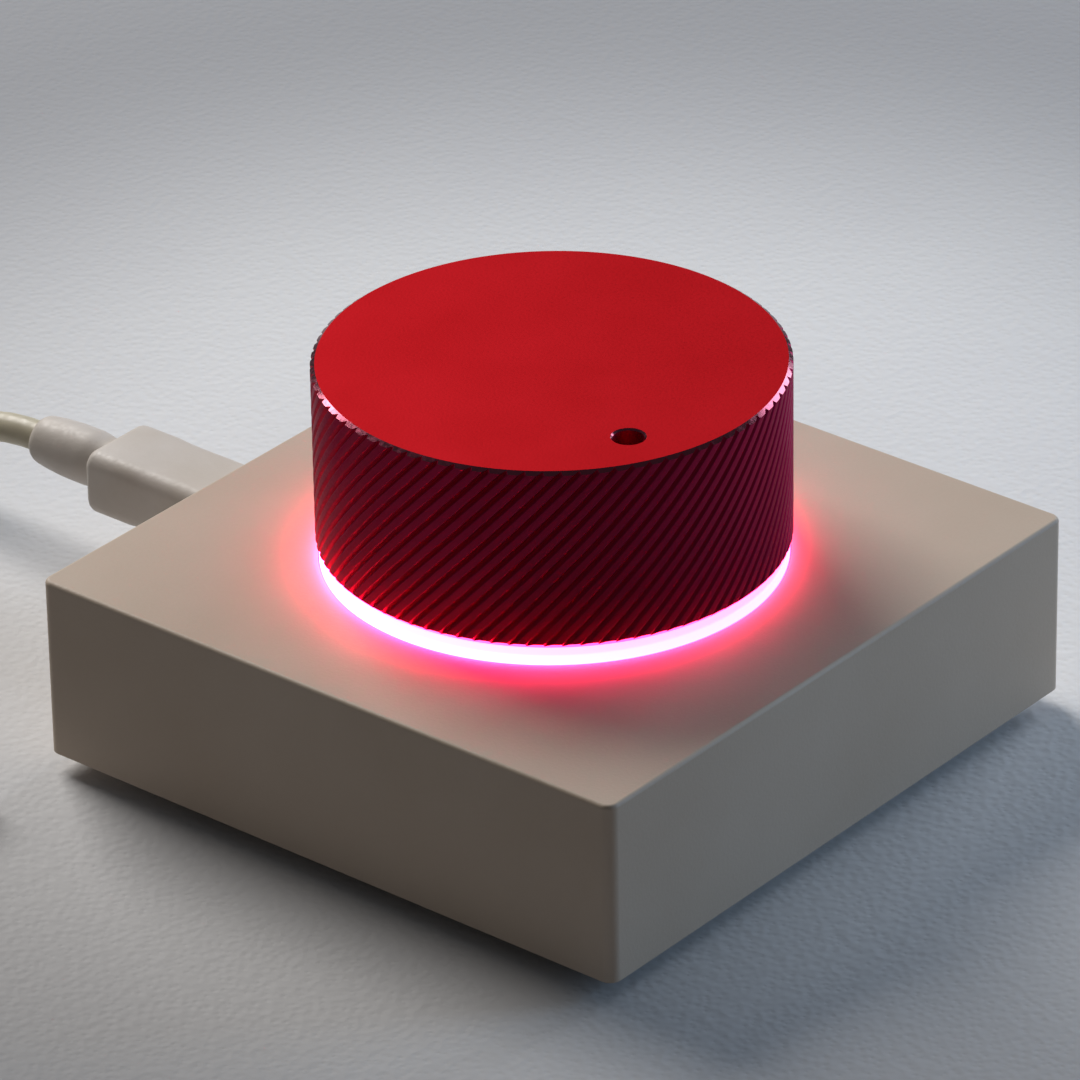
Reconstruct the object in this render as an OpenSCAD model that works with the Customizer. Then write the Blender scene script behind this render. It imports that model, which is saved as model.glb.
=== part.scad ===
// Desk volume knob: a square pale box on four feet, a knurled red knob that turns without end and
// presses down, a lit ring under the knob, and a lead that plugs into the rear wall.
// Millimetres, +Z up. The origin is on the desk under the middle of the box, and +Y is the rear wall.

/* [Base] */
// Side of the square box
base_w = 80; // [76:1:100]
// Height of the box wall, without the feet
base_h = 21.6; // [21:0.2:28]
// Radius of the upright corners
base_corner_r = 1.4; // [1.2:0.2:4]
// Radius of the edge round the top face
base_edge_r = 0.5; // [0.3:0.1:1]
// Thickness of the side walls
wall_t = 2.4; // [1.8:0.2:3]
// Thickness of the top wall
top_t = 3; // [2:0.2:4]
// Thickness of the floor of the round pocket
pocket_floor_t = 2.4; // [2:0.2:3]
// Thickness of the bottom cover
cover_t = 2; // [1.6:0.2:2.4]
// Gap all round the bottom cover
cover_gap = 0.25; // [0.15:0.05:0.5]
// Diameter of the corner posts that take the cover screws
post_d = 8.4; // [7.6:0.2:9.6]

/* [Feet and screws] */
// Diameter of a rubber foot
foot_d = 12; // [9:0.5:13]
// How far a foot stands below the box
foot_drop = 2.2; // [1.6:0.1:3]
// Depth of the recess that a foot is glued into
foot_seat = 0.6; // [0.4:0.1:1]
// Distance of a foot's centre from the sides of the box
foot_inset = 13.5; // [13:0.5:16]
// Thread diameter of the cover screws
screw_d = 3; // [2.5:0.5:3]
// Head diameter of the cover screws
screw_head_d = 5.4; // [4.8:0.1:5.6]
// Length of the cover screws under the head
screw_len = 9; // [7:0.5:11]
// Thread diameter of the board screws
board_screw_d = 2.2; // [2:0.1:2.5]
// Head diameter of the board screws
board_screw_head_d = 4.2; // [3.6:0.1:4.6]
// Play between a screw and its hole
screw_play = 0.05; // [0.03:0.01:0.1]

/* [Knob] */
// Diameter over the knurl
knob_d = 52.5; // [48:0.5:58]
// Height of the knob
knob_h = 21.6; // [19:0.2:25]
// Gap between the box and the knob
knob_gap = 1.9; // [1.9:0.1:4]
// Thickness of the knob's top
knob_top_t = 6; // [4:0.5:7]
// Thickness of the knob's skirt under the knurl
knob_wall = 2.6; // [2:0.2:3.4]
// Teeth of the knurl
knurl_teeth = 84; // [60:2:96]
// Depth of the knurl
knurl_depth = 0.4; // [0.3:0.05:0.8]
// Share of a tooth's spacing that its flat back takes
knurl_land = 0.55; // [0.2:0.05:0.7]
// Lean of the knurl from upright, in degrees
knurl_lean = 43; // [30:1:50]
// Width of the chamfer round the top
top_chamfer = 0.5; // [0.3:0.1:0.8]
// Width of the chamfer round the bottom
bottom_chamfer = 0.7; // [0.4:0.05:0.8]
// Diameter of the indicator hole
mark_d = 3.5; // [2.5:0.1:4.5]
// Depth of the indicator hole
mark_depth = 2; // [1:0.2:3]
// Distance of the indicator hole from the axis
mark_at = 20; // [12:0.2:21]
// Direction of the indicator hole, in degrees from +X
mark_turn = -116.6; // [-180:0.2:180]
// Width of the chamfer round the indicator hole
mark_chamfer = 0.2; // [0.1:0.05:0.4]
// Diameter of the knob's inner boss
boss_d = 16; // [14:0.5:18]
// Diameter of the insert that grips the shaft
insert_d = 11; // [9.5:0.5:12]
// Play between the insert and the knob
insert_play = 0.02; // [0.01:0.01:0.05]

/* [Light ring] */
// How far the ring's rim lies inside the knob's rim
ring_inset = 0.35; // [0.1:0.05:1.2]
// How far the ring stands above the box
ring_proud = 1.2; // [0.8:0.1:1.3]
// Thickness of the ring's walls
ring_wall = 1.2; // [1:0.1:1.6]
// Thickness of the ring's lid
ring_lid_t = 1; // [0.8:0.1:1.2]
// Diameter of the opening in the middle of the ring
ring_hole_d = 30; // [28:0.5:32]
// Gap between the ring and its pocket
ring_play = 0.1; // [0.05:0.01:0.2]
// Depth of the round pocket
pocket_depth = 4.6; // [4.4:0.1:5]
// Thickness of the lamp board
led_board_t = 1.2; // [0.8:0.2:1.6]
// Number of lamps
led_count = 16; // [8:1:16]
// Side of a lamp
led_w = 5; // [3.5:0.1:5]
// Height of a lamp
led_h = 1.6; // [1.2:0.1:1.8]

/* [Turning switch] */
// Side of the switch body
encoder_w = 12; // [11:0.2:13]
// Height of the switch body from the main board to the pocket floor
encoder_h = 5.8; // [5.6:0.1:6.4]
// Diameter of the threaded neck
neck_d = 7; // [6.8:0.1:7.6]
// Length of the threaded neck
neck_len = 7; // [6:0.2:8]
// Play between the neck and the pocket floor
neck_play = 0.1; // [0.05:0.05:0.3]
// Width of the nut over its flats
nut_w = 10; // [9:0.5:11]
// Height of the nut
nut_h = 2; // [1.6:0.1:2.4]
// Thickness of the washer
washer_t = 0.5; // [0.4:0.1:0.8]
// Diameter of the shaft
shaft_d = 6; // [5.6:0.1:6.2]
// Length of the shaft above the switch body
shaft_len = 20; // [17.5:0.5:21]
// Thickness of the shaft at its flat
shaft_flat = 4.5; // [4:0.1:5]
// Length of the flat
flat_len = 12; // [8:0.5:12]
// Gap all round the shaft, in the neck and in the insert
shaft_play = 0.03; // [0.01:0.01:0.06]
// How far the knob presses down
press_travel = 0.5; // [0.3:0.05:0.55]

/* [Main board] */
// Width of the main board
board_w = 43; // [42:1:48]
// Thickness of the main board
board_t = 1.6; // [1.2:0.2:1.6]
// Distance of the board's front edge from the middle
board_front = 27; // [26:0.5:30]
// Gap between the board and the rear wall
board_gap = 0.4; // [0.3:0.1:1]
// Sideways distance of the board screws from the middle
board_screw_x = 17; // [16:0.5:18]
// Distance of the board screws from the middle, front and rear
board_screw_y = 22; // [21:0.5:23]
// Side of the controller chip
chip_w = 10; // [7:0.5:10]
// Height of the controller chip
chip_h = 1.2; // [0.8:0.1:1.6]
// Spacing of the header's pins
pin_pitch = 2.54; // [2:0.27:2.54]
// Number of pins in the header
header_pins_n = 3; // [2:1:4]
// Thickness of a pin
pin_w = 0.64; // [0.5:0.02:0.66]

/* [Socket and plug] */
// Width of the socket's shell
socket_w = 7.7; // [7.5:0.1:8]
// Height of the socket's shell
socket_h = 2.8; // [2.6:0.1:3]
// Depth of the socket
socket_len = 5.8; // [5.6:0.1:6.2]
// Thickness of the socket's and the plug's sheet metal
sheet_t = 0.3; // [0.2:0.05:0.3]
// Gap between the plug's shell and the socket's shell
plug_play = 0.12; // [0.08:0.02:0.16]
// Width of the plug's moulded body
plug_w = 10.8; // [10:0.1:11.6]
// Height of the plug's moulded body
plug_h = 7.9; // [7:0.1:8.4]
// Length of the plug's moulded body
plug_len = 27.6; // [20:0.2:27.6]
// How far the moulded body reaches into the wall
plug_in_wall = 2; // [1:0.1:2.2]
// Gap round the moulded body in the wall
plug_gap = 0.4; // [0.2:0.05:0.6]
// Length of the plug's shell in front of the moulded body
plug_tip = 6; // [5.4:0.1:6.2]
// Length of the strain relief
relief_len = 11.2; // [8:0.1:11.2]
// Diameter of the strain relief at the plug
relief_d = 6.7; // [5:0.1:6.8]

/* [Lead] */
// Diameter of the lead
cord_d = 3.6; // [3.2:0.1:3.8]
// Turns in the put-away coil
coil_turns = 6.5; // [4.5:1:6.5]
// Mean radius of the coil
coil_mid_r = 21.5; // [20:0.5:23]
// Gap between turns that lie side by side or on each other
turn_gap = 0.5; // [0.45:0.05:0.6]
// Width of a tie
tie_w = 6; // [4:0.5:8]
// Thickness of a tie
tie_t = 0.6; // [0.4:0.1:0.8]
// Width of the far plug's moulded body
far_plug_w = 15.4; // [14:0.2:16.4]
// Height of the far plug's moulded body
far_plug_h = 8; // [7:0.2:8]
// Length of the far plug's moulded body
far_plug_len = 24; // [18:0.5:26]
// Width of the far plug's metal shell
far_shell_w = 12; // [11.6:0.1:12.2]
// Height of the far plug's metal shell
far_shell_h = 4.5; // [4.3:0.1:4.7]
// Length of the far plug's metal shell
far_shell_len = 12; // [11:0.2:12.4]

/* [Hidden] */
$fn = 64;
cut = 0.2;                                 // how far a cutting shape runs past what it cuts
half_w = base_w / 2;
top_z = foot_drop + base_h;                // top face of the box
inner_w = base_w - 2 * wall_t;
inner_half = inner_w / 2;
cover_z = foot_drop + cover_t;             // inner face of the bottom cover
wall_bite = 0.6;                           // how far a post runs into each wall
post_at = inner_half - post_d / 2 + wall_bite;
foot_at = half_w - foot_inset;
corner_min = 0.6;
inner_corner_r = max(corner_min, base_corner_r - wall_t + corner_min);
head_sink = 1.1;                           // depth of the recess for a cover screw's head
head_gap = 0.2;                            // gap all round a cover screw's head and its thread
pocket_z = top_z - pocket_depth;           // floor of the round pocket
mount_z = pocket_z - pocket_floor_t;       // underside of that floor, where the switch body hangs
board_z = mount_z - encoder_h;             // top face of the main board
board_rear = inner_half - board_gap;
plug_z = board_z + socket_h / 2;           // axis of the plug
mouth_gap = 0.2;                           // gap between the socket's mouth and the rear wall
mouth_y = inner_half - mouth_gap;
hub_wall = 2.9;                            // thickness of the round part round the pocket
ring_d = knob_d - 2 * ring_inset;          // outer diameter of the ring
hub_r = ring_d / 2 + ring_play + hub_wall;
min_edge = 0.01;

// knob levels and the knurl
knob_z = top_z + knob_gap;
knob_top = knob_z + knob_h;
knurl_low = knob_z + bottom_chamfer;
knurl_high = knob_top - top_chamfer;
root_r = knob_d / 2 - knurl_depth;
rim_r = root_r - 0.05;                     // both ends of the knob start just inside the grooves
knurl_span = knurl_high - knurl_low;
knurl_twist = knurl_span * tan(knurl_lean) / (knob_d / 2) * 180 / PI;
knurl_steps = 8;
insert_low = knob_z + 1;
shaft_top = mount_z + shaft_len;
insert_high = shaft_top + 1.5;
flat_low = shaft_top - flat_len;
hollow_top = knob_top - knob_top_t;

// ring and lamps
ring_top = top_z + ring_proud;
led_z = pocket_z + led_board_t;
led_ring_r = ring_d / 2 - ring_wall - led_w / 2 - 0.5;
header_at = (ring_hole_d / 2 + ring_wall + led_ring_r - led_w / 2) / 2;
board_r = ring_d / 2 - ring_wall - 0.2;

// switch inside
plate_t = 0.8;                             // metal plate on top of the switch body
chamber_wall = 1.5;
chamber_d = encoder_w - 2 * chamber_wall;
chamber_floor_t = 0.8;
chamber_floor = board_z + chamber_floor_t;
flange_t = 0.9;
flange_gap = 0.5;                          // gap round the flange, and from its rim to the plunger's
flange_d = chamber_d - 2 * flange_gap;
plunger_d = flange_d - 2 * flange_gap;
stop_gap = 0.05;                           // play of the shaft between its stops
dome_spare = 0.1;                          // height left of the dome when it is pressed
dome_h = press_travel + dome_spare;
dome_top_d = 2;
plunger_h = 1.1;
plunger_low = chamber_floor + dome_h;
shaft_low = plunger_low + plunger_h + stop_gap;
nut_z = pocket_z + washer_t;
encoder_legs = [[-2.5, 0], [2.5, 0], [-2.5, 180], [0, 180], [2.5, 180]];   // sideways place, and turn
leg_w = 0.9;
leg_t = 0.4;
leg_reach = 1.3;
leg_end = 1.2;                             // how far a leg stands out under the board
leg_z = board_z + 1;
leg_y = encoder_w / 2 + leg_reach - leg_t / 2;

// main board and screws
chip_y = 18;
crystal_w = 3.2;
crystal_len = 5;
crystal_gap = 3.4;                         // gap between the chip and the crystal
capacitor_w = 1.25;
capacitor_len = 2;
capacitor_step = 3;
capacitor_gap = 3;                         // gap between the chip and the capacitors
resistor_w = 1.25;
resistor_len = 2;
resistor_side = 3;                         // from the socket's side to a resistor's middle
resistor_y = mouth_y - socket_len - 2.6;
board_screw_grip = 5;                      // length of a board screw inside its boss

// plug and lead
plug_tip_y = half_w - plug_in_wall - plug_tip;
plug_face_y = half_w - plug_in_wall;
plug_end_y = plug_face_y + plug_len;
relief_end_y = plug_end_y + relief_len;
shell_w = socket_w - 2 * sheet_t - 2 * plug_play;
shell_h = socket_h - 2 * sheet_t - 2 * plug_play;
tongue_w = 4.4;
tongue_t = 0.5;
tongue_back = 1.3;                         // how much shorter the tongue is than the socket
cord_r = cord_d / 2;
pitch = cord_d + turn_gap;
half_turns = coil_turns / 2;
coil_out_r = coil_mid_r + pitch * half_turns / 2;
coil_in_r = coil_mid_r - pitch * half_turns / 2;
tie_gap = 0.15;
coil_low_z = tie_t + tie_gap + cord_r;
coil_high_z = coil_low_z + pitch;
coil_y = 118;
coil_x = -coil_out_r;
far_x = -2 * coil_out_r;
far_z = far_plug_h / 2;
far_relief_y = 88;
far_relief_len = 10;
far_plug_y = far_relief_y - far_relief_len;
far_shell_y = far_plug_y - far_plug_len;

// Route of the lead from the strain relief to the coil, and from the coil to the far plug
lead_route = [
    [0, relief_end_y, plug_z], [0, 79.2, 12.37], [0, 82, 12.04], [0, 85, 11.33], [0, 88.5, 10.11],
    [0, 92, 8.6], [0, 95.5, 6.96], [0, 99, 5.38], [0, 102.5, 4.03], [0, 106, 3.06],
    [0, coil_y - 2 * cord_d, coil_low_z], [0, coil_y - cord_d, coil_low_z]
];
tail_route = [
    [far_x, coil_y - cord_d, coil_high_z], [far_x, coil_y - 2 * cord_d, coil_high_z],
    [far_x, 107, 6.4], [far_x, 103, 5.8], [far_x, 99, 5.1], [far_x, 95, 4.5],
    [far_x, 91, 4.1], [far_x, far_relief_y, far_z]
];

// The coil spirals in on the low layer, climbs in the half turn where it reverses, and spirals out
function ease(t) = let (u = min(1, max(0, t))) u * u * (3 - 2 * u);
function coil_r(t) = coil_in_r + pitch * abs(t - half_turns);
function coil_z(t) = coil_low_z + pitch * ease((t - half_turns + 0.25) / 0.5);
function coil_point(t) = [
    coil_x + coil_r(t) * cos(360 * t),
    coil_y + coil_r(t) * sin(360 * t),
    coil_z(t)
];
rings_per_turn = 24;
coil_turn_points = [for (i = [0 : coil_turns * rings_per_turn]) coil_point(i / rings_per_turn)];
coil_route = concat(
    [[coil_x + coil_out_r, coil_y - cord_d, coil_low_z]],
    coil_turn_points,
    [[coil_x - coil_out_r, coil_y - cord_d, coil_high_z]]
);

// Least gap of the wound tube to itself, between rings at least half a turn apart
function least_gap(p, apart) = min([
    for (i = [0 : len(p) - 1 - apart])
        for (j = [i + apart : len(p) - 1])
            norm(p[i] - p[j])
]) - cord_d;
function route_length(p, i = 0) = i >= len(p) - 1 ? 0 : norm(p[i + 1] - p[i]) + route_length(p, i + 1);
echo(coil_least_gap = least_gap(coil_turn_points, rings_per_turn / 2));
echo(lead_length = route_length(lead_route) + route_length(coil_route) + route_length(tail_route));

/* Shapes that repeat */

// Flat rectangle with round corners
module rounded_rect(w, h, r) {
    square([w - 2 * r, h], center = true);
    square([w, h - 2 * r], center = true);
    for (x = [-1, 1], y = [-1, 1])
        translate([x * (w / 2 - r), y * (h / 2 - r)]) circle(r);
}

// Upright plate with round corners, from z = low up to z = high
module rounded_plate(w, d, r, low, high) {
    translate([0, 0, low]) linear_extrude(high - low) rounded_rect(w, d, r);
}

// Bar of rounded section along +Y, from y = low to y = high, round the point (x, z)
module rounded_bar(w, h, r, low, high, x, z) {
    translate([x, high, z]) rotate([90, 0, 0]) linear_extrude(high - low) rounded_rect(w, h, r);
}

// Half of a wall's outline, from the axis to reach, with its upper edge rounded
module edge_profile(reach, high, edge_r) {
    square([reach, high - edge_r]);
    square([reach - edge_r, high]);
    translate([reach - edge_r, high - edge_r]) circle(edge_r);
}

// Square block whose upright corners and top edge are rounded
module soft_block(w, high, corner_r, edge_r) {
    for (turn = [0, 90])
        rotate([0, 0, turn]) rotate([90, 0, 0])
            linear_extrude(w - 2 * corner_r, center = true) {
                edge_profile(w / 2, high, edge_r);
                mirror([1, 0]) edge_profile(w / 2, high, edge_r);
            }
    for (x = [-1, 1], y = [-1, 1])
        translate([x * (w / 2 - corner_r), y * (w / 2 - corner_r), 0])
            rotate_extrude() intersection() {
                edge_profile(corner_r, high, edge_r);
                square([corner_r, high]);
            }
}

// Copies at the four corners of a rectangle
module at_corners(x_at, y_at) {
    for (x = [-1, 1], y = [-1, 1])
        translate([x * x_at, y * y_at, 0]) children();
}

// Upright cylinder from z = low to z = high
module pillar(d, low, high) {
    translate([0, 0, low]) cylinder(h = high - low, d = d);
}

// Upright tube from z = low to z = high
module tube(outer_d, inner_d, low, high) {
    difference() {
        pillar(outer_d, low, high);
        pillar(inner_d, low - cut, high + cut);
    }
}

// Box from its corner and its size in the middle of X and Y
module block(w, d, low, high) {
    translate([-w / 2, -d / 2, low]) cube([w, d, high - low]);
}

// Tube of flat-sided rings swept along a route that never runs straight up
function unit(v) = v / norm(v);
function heading(p, i) = unit(p[min(i + 1, len(p) - 1)] - p[max(i - 1, 0)]);
function ring_at(p, i, way, r, sides) =
    let (side = unit(cross(way, [0, 0, 1])), up = cross(side, way))
    [for (k = [0 : sides - 1]) p[i] + r * (cos(360 * k / sides) * side + sin(360 * k / sides) * up)];

module swept_tube(p, r, sides, start_way, end_way) {
    last = len(p) - 1;
    ways = [for (i = [0 : last]) i == 0 ? start_way : i == last ? end_way : heading(p, i)];
    points = [for (i = [0 : last]) each ring_at(p, i, ways[i], r, sides)];
    walls = [
        for (i = [0 : last - 1], k = [0 : sides - 1])
            let (a = i * sides + k, b = i * sides + (k + 1) % sides)
            each [[a, b, b + sides], [a, b + sides, a + sides]]
    ];
    start_cap = [for (k = [1 : sides - 2]) [0, k + 1, k]];
    end_cap = [for (k = [1 : sides - 2]) [last * sides, last * sides + k, last * sides + k + 1]];
    polyhedron(points, concat(walls, start_cap, end_cap), convexity = 10);
}

/* Base */

module base_shell() {
    color([0.80, 0.77, 0.72]) difference() {
        union() {
            difference() {
                translate([0, 0, foot_drop]) soft_block(base_w, base_h, base_corner_r, base_edge_r);
                rounded_plate(inner_w, inner_w, inner_corner_r, foot_drop - cut, top_z - top_t);
            }
            pillar(2 * hub_r, mount_z, top_z - top_t + cut);
            at_corners(post_at, post_at) pillar(post_d, cover_z, top_z - top_t + cut);
            at_corners(board_screw_x, board_screw_y)
                pillar(board_screw_d + 3.4, board_z, top_z - top_t + cut);
        }
        pillar(ring_d + 2 * ring_play, pocket_z, top_z + cut);
        pillar(neck_d + 2 * neck_play, mount_z - cut, pocket_z + cut);
        at_corners(post_at, post_at)
            pillar(screw_d + 2 * screw_play, cover_z - cut, foot_drop + head_sink + screw_len + 0.6);
        at_corners(board_screw_x, board_screw_y)
            pillar(board_screw_d + 2 * screw_play, board_z - cut, board_z + board_screw_grip + 0.5);
        translate([0, -header_at, 0])
            rounded_plate(header_pins_n * pin_pitch + 1.4, 3.4, 1.2, mount_z - cut, pocket_z + cut);
        rounded_bar(plug_w + 2 * plug_gap, plug_h + 2 * plug_gap, 1.8 + plug_gap,
            inner_half - cut, half_w + cut, 0, plug_z);
    }
}

module bottom_cover() {
    side = inner_w - 2 * cover_gap;
    color([0.72, 0.69, 0.64]) difference() {
        rounded_plate(side, side, inner_corner_r, foot_drop, cover_z);
        at_corners(post_at, post_at) {
            pillar(screw_d + 2 * head_gap, foot_drop - cut, cover_z + cut);
            pillar(screw_head_d + 2 * head_gap, foot_drop - cut, foot_drop + head_sink);
        }
        at_corners(foot_at, foot_at) pillar(foot_d + 0.3, foot_drop - cut, foot_drop + foot_seat);
    }
}

// Flat-headed screws with a hexagon socket
module cover_screws() {
    color([0.55, 0.56, 0.58]) at_corners(post_at, post_at) difference() {
        union() {
            pillar(screw_head_d, foot_drop + 0.1, foot_drop + head_sink);
            pillar(screw_d, foot_drop + head_sink, foot_drop + head_sink + screw_len);
        }
        translate([0, 0, foot_drop]) cylinder(h = 0.8, d = screw_d * 0.7, $fn = 6);
    }
}

module rubber_feet() {
    color([0.12, 0.12, 0.12]) at_corners(foot_at, foot_at) {
        translate([0, 0, foot_drop]) cylinder(h = foot_seat, d = foot_d);
        translate([0, 0, 0.5]) cylinder(h = foot_drop - 0.5, d = foot_d);
        cylinder(h = 0.5, d1 = foot_d - 1, d2 = foot_d);
    }
}

/* Knob */

// One tooth is a flat back, then a V groove
module knurl_outline() {
    step = 360 / knurl_teeth;
    polygon([
        for (i = [0 : knurl_teeth - 1])
            let (edge = i + knurl_land, root = i + (1 + knurl_land) / 2)
                each [
                    knob_d / 2 * [cos(i * step), sin(i * step)],
                    knob_d / 2 * [cos(edge * step), sin(edge * step)],
                    root_r * [cos(root * step), sin(root * step)]
                ]
    ]);
}

module knob() {
    color([0.62, 0.05, 0.09]) difference() {
        union() {
            translate([0, 0, knurl_low])
                linear_extrude(knurl_span, twist = -knurl_twist, slices = knurl_steps, convexity = 4)
                    knurl_outline();
            translate([0, 0, knob_z])
                cylinder(h = bottom_chamfer, r1 = knob_d / 2 - bottom_chamfer, r2 = rim_r);
            translate([0, 0, knurl_high])
                cylinder(h = top_chamfer, r1 = rim_r, r2 = knob_d / 2 - top_chamfer);
        }
        translate([0, 0, -cut]) tube(2 * (root_r - knob_wall), boss_d, knob_z, hollow_top + cut);
        pillar(boss_d + cut, knob_z - cut, insert_low);
        pillar(insert_d + 2 * insert_play, insert_low - cut, insert_high + insert_play);
        rotate([0, 0, mark_turn]) translate([mark_at, 0, 0]) {
            pillar(mark_d, knob_top - mark_depth, knob_top + cut);
            translate([0, 0, knob_top - mark_chamfer])
                cylinder(h = mark_chamfer + cut, r1 = mark_d / 2, r2 = mark_d / 2 + mark_chamfer + cut);
        }
    }
}

// Round shaft with a flat on the +X side above flat_low, or the hole for one
module flatted_shaft(d, flat, low, high, flat_from) {
    difference() {
        pillar(d, low, high);
        translate([flat - shaft_d / 2, -d, flat_from]) cube([d, 2 * d, high - flat_from + cut]);
    }
}

module knob_insert() {
    color([0.85, 0.72, 0.42]) difference() {
        pillar(insert_d, insert_low, insert_high);
        flatted_shaft(shaft_d + 2 * shaft_play, shaft_flat + shaft_play,
            insert_low - cut, shaft_top + 0.2, flat_low - shaft_play);
    }
}

module encoder_shaft() {
    color([0.78, 0.78, 0.80]) {
        flatted_shaft(shaft_d, shaft_flat, shaft_low, shaft_top, flat_low);
        pillar(flange_d, mount_z - plate_t - stop_gap - flange_t, mount_z - plate_t - stop_gap);
    }
}

/* Turning switch */

module switch_plunger() {
    color([0.9, 0.9, 0.88]) pillar(plunger_d, plunger_low, plunger_low + plunger_h);
}

module switch_dome() {
    color([0.75, 0.76, 0.78]) translate([0, 0, chamber_floor])
        cylinder(h = dome_h, d1 = plunger_d, d2 = dome_top_d);
}

module encoder_body() {
    color([0.16, 0.16, 0.17]) difference() {
        block(encoder_w, encoder_w, board_z, mount_z - plate_t);
        pillar(chamber_d, chamber_floor, mount_z);
    }
}

// Neck on its plate, with the thread left plain
module encoder_neck() {
    color([0.70, 0.71, 0.73]) difference() {
        union() {
            block(encoder_w, encoder_w, mount_z - plate_t, mount_z);
            pillar(neck_d, mount_z, mount_z + neck_len - 0.4);
            translate([0, 0, mount_z + neck_len - 0.4])
                cylinder(h = 0.4, d1 = neck_d, d2 = neck_d - 0.8);
        }
        pillar(shaft_d + 2 * shaft_play, mount_z - plate_t - cut, mount_z + neck_len + cut);
    }
}

module encoder_washer() {
    color([0.72, 0.73, 0.75]) tube(nut_w + 2, neck_d + 0.3, pocket_z, nut_z);
}

module encoder_nut() {
    color([0.74, 0.75, 0.77]) difference() {
        intersection() {
            translate([0, 0, nut_z]) cylinder(h = nut_h, d = nut_w / cos(30), $fn = 6);
            translate([0, 0, nut_z]) cylinder(h = nut_h, d1 = nut_w / cos(30) + 2, d2 = nut_w + 0.4);
        }
        pillar(neck_d + 2 * screw_play, nut_z - cut, nut_z + nut_h + cut);
    }
}

// Flat legs that leave the switch body's sides and go down through the main board
module encoder_pins() {
    color([0.80, 0.78, 0.70]) for (leg = encoder_legs)
        rotate([0, 0, leg[1]]) translate([leg[0], 0, 0]) {
            translate([-leg_w / 2, encoder_w / 2, leg_z]) cube([leg_w, leg_reach, leg_t]);
            translate([-leg_w / 2, leg_y - leg_t / 2, board_z - board_t - leg_end])
                cube([leg_w, leg_t, leg_z + leg_t - board_z + board_t + leg_end]);
        }
}

/* Light ring */

module light_ring() {
    color([1.0, 0.62, 0.68]) union() {
        tube(ring_d, ring_d - 2 * ring_wall, pocket_z, ring_top);
        tube(ring_d - ring_wall, ring_hole_d + ring_wall, ring_top - ring_lid_t, ring_top);
        tube(ring_hole_d + 2 * ring_wall, ring_hole_d, led_z, ring_top);
    }
}

module led_board() {
    color([0.93, 0.93, 0.91]) difference() {
        tube(2 * board_r, ring_hole_d - 1, pocket_z, led_z);
        header_holes(pocket_z, led_z);
    }
}

module leds() {
    color([0.98, 0.97, 0.92]) for (i = [0 : led_count - 1])
        rotate([0, 0, (i + 0.5) * 360 / led_count]) translate([led_ring_r, 0, 0]) difference() {
            block(led_w, led_w, led_z, led_z + led_h);
            translate([0, 0, led_z + led_h - 0.4]) cylinder(h = 1, d1 = led_w * 0.66, d2 = led_w * 0.86);
        }
}

/* Main board */

module header_holes(low, high) {
    for (i = [0 : header_pins_n - 1])
        translate([(i - (header_pins_n - 1) / 2) * pin_pitch, -header_at, 0])
            pillar(pin_w * 1.5, low - cut, high + cut);
}

module main_board() {
    color([0.07, 0.30, 0.20]) difference() {
        translate([-board_w / 2, -board_front, board_z - board_t])
            cube([board_w, board_front + board_rear, board_t]);
        at_corners(board_screw_x, board_screw_y)
            pillar(board_screw_d + 0.3, board_z - board_t - cut, board_z + cut);
        for (leg = encoder_legs)
            rotate([0, 0, leg[1]]) translate([leg[0], leg_y, 0])
                pillar(leg_w + 0.3, board_z - board_t - cut, board_z + cut);
        header_holes(board_z - board_t, board_z);
    }
}

module board_screws() {
    low = board_z - board_t;
    color([0.55, 0.56, 0.58]) at_corners(board_screw_x, board_screw_y) difference() {
        union() {
            pillar(board_screw_head_d, low - 1.5, low);
            pillar(board_screw_d, low, board_z + board_screw_grip);
        }
        for (turn = [0, 90])
            rotate([0, 0, turn]) block(board_screw_head_d * 0.55, 0.5, low - 1.7, low - 0.7);
    }
}

module controller_chip() {
    dot_d = 0.9;
    dot_at = chip_w / 2 - 1.4;
    color([0.10, 0.10, 0.11]) translate([0, chip_y, 0]) difference() {
        block(chip_w, chip_w, board_z, board_z + chip_h);
        translate([-dot_at, dot_at, 0]) pillar(dot_d, board_z + chip_h - 0.1, board_z + chip_h + cut);
    }
}

module crystal() {
    color([0.78, 0.78, 0.80]) translate([chip_w / 2 + crystal_gap + crystal_w / 2, chip_y, 0])
        rounded_plate(crystal_w, crystal_len, 0.5, board_z, board_z + 1);
}

module capacitors() {
    color([0.70, 0.56, 0.40]) for (i = [0 : 3])
        translate([-(chip_w + capacitor_len) / 2 - capacitor_gap, chip_y + capacitor_step * (i - 1.5), 0])
            block(capacitor_len, capacitor_w, board_z, board_z + 1);
}

module resistors() {
    color([0.12, 0.12, 0.13]) for (x = [-1, 1])
        translate([x * (socket_w / 2 + resistor_side), resistor_y, 0])
            block(resistor_w, resistor_len, board_z, board_z + 0.5);
}

module header_strip() {
    color([0.10, 0.10, 0.10]) translate([0, -header_at, 0]) difference() {
        block(header_pins_n * pin_pitch, 2.5, board_z, board_z + 2.5);
        translate([0, header_at, 0]) header_holes(board_z, board_z + 2.5);
    }
}

module header_pins() {
    color([0.85, 0.72, 0.35]) for (i = [0 : header_pins_n - 1])
        translate([(i - (header_pins_n - 1) / 2) * pin_pitch, -header_at, 0])
            block(pin_w, pin_w, board_z - board_t - 1, led_z + 0.8);
}

/* Socket */

module usb_socket() {
    color([0.78, 0.79, 0.81]) difference() {
        rounded_bar(socket_w, socket_h, 0.7, mouth_y - socket_len, mouth_y, 0, plug_z);
        rounded_bar(socket_w - 2 * sheet_t, socket_h - 2 * sheet_t, 0.45,
            mouth_y - socket_len + sheet_t, mouth_y + cut, 0, plug_z);
    }
}

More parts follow.
